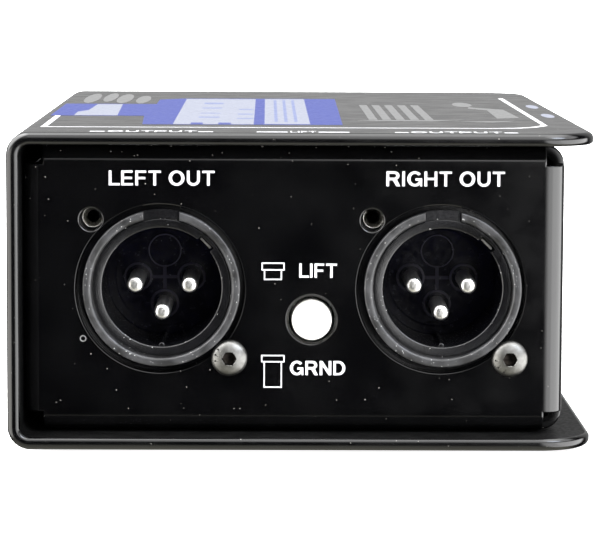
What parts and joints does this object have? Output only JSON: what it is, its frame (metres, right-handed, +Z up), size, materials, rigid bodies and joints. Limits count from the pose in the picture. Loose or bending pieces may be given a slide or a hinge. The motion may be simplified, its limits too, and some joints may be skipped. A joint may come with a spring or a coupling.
{
  "type": "direct injection box",
  "caption": "Flat stereo direct injection box: a C-shaped steel sleeve overhangs recessed panels with XLR outputs, a ground-lift button and quarter-inch jacks.",
  "frame": {"origin": "centre of the underside of the no-slip pad, at the middle of the bounding box's base", "axes": "+X to the right seen from the front, towards the open side of the sleeve; +Y to the rear, from the XLR outputs to the jacks; +Z up"},
  "size_m": [0.084, 0.127, 0.0465],
  "materials": {
    "black_paint": "satin black powder coat",
    "rubber": "matt black rubber",
    "stainless": "satin",
    "board_green": "green solder mask",
    "xlr_plastic": "dark grey satin",
    "insert_plastic": "black semi-gloss",
    "silver_plate": "bright silver plate",
    "spring_steel": "plain",
    "jack_plastic": "black satin",
    "nickel": "bright nickel plate",
    "switch_plastic": "grey",
    "button_plastic": "ivory white semi-gloss",
    "can_metal": "tinned",
    "lamination": "dark grey",
    "winding": "amber tape",
    "resistor": "tan lacquer"
  },
  "bodies": {
    "enclosure": {"outer_sleeve": "black_paint", "inner_chassis": "black_paint", "no_slip_pad": "rubber", "sleeve_screw_front_left": "stainless", "sleeve_screw_front_right": "stainless", "sleeve_screw_rear_left": "stainless", "sleeve_screw_rear_right": "stainless", "circuit_board": "board_green", "left_xlr_housing": "xlr_plastic", "left_xlr_insert": "insert_plastic", "left_xlr_pin_1": "silver_plate", "left_xlr_pin_2": "silver_plate", "left_xlr_pin_3": "silver_plate", "left_xlr_shell_contact": "spring_steel", "left_xlr_screw": "stainless", "right_xlr_housing": "xlr_plastic", "right_xlr_insert": "insert_plastic", "right_xlr_pin_1": "silver_plate", "right_xlr_pin_2": "silver_plate", "right_xlr_pin_3": "silver_plate", "right_xlr_shell_contact": "spring_steel", "right_xlr_screw": "stainless", "left_thru_jack_body": "jack_plastic", "left_thru_jack_nut": "nickel", "left_thru_jack_washer": "nickel", "left_thru_jack_tip_contact": "spring_steel", "left_thru_jack_sleeve_contact": "spring_steel", "left_input_jack_body": "jack_plastic", "left_input_jack_nut": "nickel", "left_input_jack_washer": "nickel", "left_input_jack_tip_contact": "spring_steel", "left_input_jack_sleeve_contact": "spring_steel", "right_input_jack_body": "jack_plastic", "right_input_jack_nut": "nickel", "right_input_jack_washer": "nickel", "right_input_jack_tip_contact": "spring_steel", "right_input_jack_sleeve_contact": "spring_steel", "right_thru_jack_body": "jack_plastic", "right_thru_jack_nut": "nickel", "right_thru_jack_washer": "nickel", "right_thru_jack_tip_contact": "spring_steel", "right_thru_jack_sleeve_contact": "spring_steel", "ground_lift_body": "switch_plastic", "ground_lift_spring": "spring_steel", "pad_body": "switch_plastic", "pad_spring": "spring_steel", "left_transformer_can": "can_metal", "left_transformer_core": "lamination", "left_transformer_coil": "winding", "left_pad_resistor": "resistor", "right_transformer_can": "can_metal", "right_transformer_core": "lamination", "right_transformer_coil": "winding", "right_pad_resistor": "resistor"},
    "ground_lift_button": {"ground_lift_cap": "button_plastic", "ground_lift_stem": "switch_plastic"},
    "pad_button": {"pad_cap": "button_plastic", "pad_stem": "switch_plastic"}
  },
  "joints": [
    {"name": "ground_lift_press", "type": "slide", "parent": "enclosure", "child": "ground_lift_button", "axis": [0, 1, 0], "range_m": [0, 0.0025], "stiffness_N_per_m": 400, "springref_m": -0.002, "deforming": ["ground_lift_spring"]},
    {"name": "pad_press", "type": "slide", "parent": "enclosure", "child": "pad_button", "axis": [0, -1, 0], "range_m": [0, 0.0025], "stiffness_N_per_m": 400, "springref_m": -0.002, "deforming": ["pad_spring"]}
  ]
}
